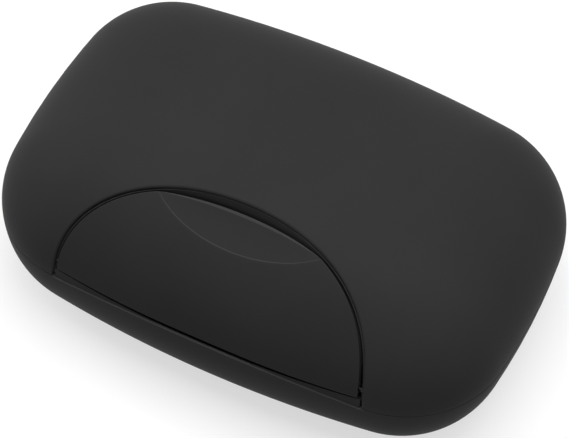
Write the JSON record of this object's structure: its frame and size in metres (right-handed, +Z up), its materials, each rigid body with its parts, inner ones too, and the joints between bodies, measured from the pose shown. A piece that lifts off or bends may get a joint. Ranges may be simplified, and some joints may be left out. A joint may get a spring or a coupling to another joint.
{
  "type": "travel soap box",
  "caption": "Pillow-shaped travel soap box with a hinged lid, a domed front latch, a lift-out drain tray and a sealing ring.",
  "frame": {"origin": "middle of the flat underside, where the case stands", "axes": "+X along the length of the case, to the right as one faces the latch; -Y towards the latch at the front, +Y towards the lid's hinge; +Z up"},
  "size_m": [0.115, 0.082, 0.044],
  "materials": {
    "base": "satin moulded, near black",
    "lid": "satin moulded, near black",
    "latch": "satin moulded, near black",
    "drain_tray": "satin moulded, near black",
    "seal_ring": "soft, translucent grey",
    "steel": "drawn wire"
  },
  "bodies": {
    "base": {"base": "base", "lid_hinge_pin": "steel"},
    "lid": {"lid": "lid", "seal_ring": "seal_ring", "latch_pin": "steel"},
    "latch": {"latch": "latch"},
    "drain_tray": {"drain_tray": "drain_tray"}
  },
  "joints": [
    {"name": "lid_hinge", "type": "hinge", "parent": "base", "child": "lid", "pos_m": [0, 0.0412, 0.02], "axis": [-1, 0, 0], "range_deg": [0, 100]},
    {"name": "latch_pivot", "type": "hinge", "parent": "lid", "child": "latch", "pos_m": [0, -0.0352, 0.0245], "axis": [1, 0, 0], "range_deg": [0, 60]},
    {"name": "tray_lift", "type": "slide", "parent": "base", "child": "drain_tray", "axis": [0, 0, 1], "range_m": [0, 0.009]}
  ]
}
